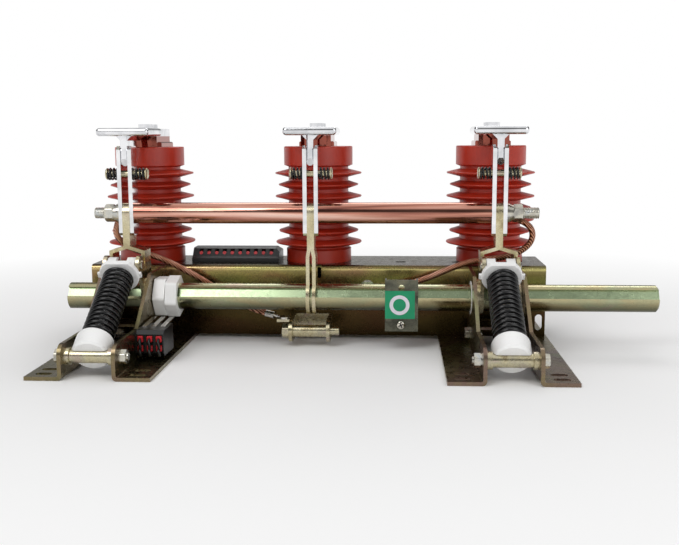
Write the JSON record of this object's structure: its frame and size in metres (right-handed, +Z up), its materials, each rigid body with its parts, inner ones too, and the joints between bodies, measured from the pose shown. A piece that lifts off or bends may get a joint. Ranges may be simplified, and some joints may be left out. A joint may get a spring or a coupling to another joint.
{
  "type": "earthing switch",
  "caption": "Indoor earthing switch: contact blades on a turning shaft swing up into fixed contacts on ribbed insulators, driven past centre by spring mechanisms.",
  "frame": {"origin": "on the floor under the shaft's axis, at the centre of the feet's floor bolt pattern", "axes": "+X along the row of poles towards the drive end of the shaft, +Y from front to back, +Z up"},
  "size_m": [0.668, 0.325, 0.2555],
  "materials": {
    "zinc": "yellow passivated zinc, faintly iridescent",
    "dark_zinc": "dark olive passivated zinc",
    "epoxy": "cast red epoxy resin, soft sheen",
    "silver_plate": "silver plated copper, polished",
    "copper": "polished copper tube",
    "braid": "stranded bare copper",
    "lug_tin": "tin plated",
    "nylon": "white nylon",
    "spring_black": "gloss black coated spring steel",
    "steel": "bright steel",
    "black_plastic": "black moulded plastic"
  },
  "bodies": {
    "frame": {"crossbeam": "zinc", "terminal_strip": "black_plastic", "auxiliary_switch": "black_plastic", "auxiliary_switch_leaves": "lug_tin", "earth_bracket": "zinc", "earth_pin": "zinc", "earth_lugs": "lug_tin", "cross_plates": "zinc", "cross_plate_bolts": "zinc", "pivot_sleeves": "zinc", "pivot_bolts": "zinc", "left_braid": "braid", "right_braid": "braid", "left_insulator": "epoxy", "centre_insulator": "epoxy", "right_insulator": "epoxy", "left_fixed_contact": "silver_plate", "centre_fixed_contact": "silver_plate", "right_fixed_contact": "silver_plate", "left_outer_bracket": "zinc", "left_inner_bracket": "zinc", "right_outer_bracket": "zinc", "right_inner_bracket": "zinc"},
    "rotor": {"shaft": "zinc", "copper_tubes": "copper", "tie_rod": "zinc", "tie_rod_nuts": "zinc", "pressure_springs": "spring_black", "pressure_bolts": "zinc", "crank_pins": "zinc", "shaft_bushes": "nylon", "switch_cams": "nylon", "indicator_plate": "dark_zinc", "left_arm": "zinc", "centre_arm": "zinc", "right_arm": "zinc", "left_blades": "silver_plate", "centre_blades": "silver_plate", "right_blades": "silver_plate"},
    "left_guide": {"left_spring_cap": "nylon", "left_guide_rod": "steel", "left_main_spring": "spring_black"},
    "left_seat": {"left_spring_seat": "nylon"},
    "right_guide": {"right_spring_cap": "nylon", "right_guide_rod": "steel", "right_main_spring": "spring_black"},
    "right_seat": {"right_spring_seat": "nylon"}
  },
  "joints": [
    {"name": "shaft_turn", "type": "hinge", "parent": "frame", "child": "rotor", "pos_m": [0, 0, 0.058], "axis": [1, 0, 0], "range_deg": [0, 84], "deforming": ["left_main_spring", "right_main_spring", "left_braid", "right_braid"]},
    {"name": "left_guide_swing", "type": "hinge", "parent": "frame", "child": "left_guide", "pos_m": [-0.21, -0.1485, 0.0223], "axis": [1, 0, 0], "range_deg": [-25.85, 0.2]},
    {"name": "left_seat_swing", "type": "hinge", "parent": "rotor", "child": "left_seat", "pos_m": [-0.21, -0.028, 0.098], "axis": [1, 0, 0], "range_deg": [-109.85, 0.2]},
    {"name": "right_guide_swing", "type": "hinge", "parent": "frame", "child": "right_guide", "pos_m": [0.21, -0.1485, 0.0223], "axis": [1, 0, 0], "range_deg": [-25.85, 0.2]},
    {"name": "right_seat_swing", "type": "hinge", "parent": "rotor", "child": "right_seat", "pos_m": [0.21, -0.028, 0.098], "axis": [1, 0, 0], "range_deg": [-109.85, 0.2]}
  ],
  "couplings": [
    {"joint": "left_guide_swing", "follows": "shaft_turn", "ratio": -0.30533},
    {"joint": "left_seat_swing", "follows": "shaft_turn", "ratio": -1.3053},
    {"joint": "right_guide_swing", "follows": "shaft_turn", "ratio": -0.30533},
    {"joint": "right_seat_swing", "follows": "shaft_turn", "ratio": -1.3053}
  ]
}
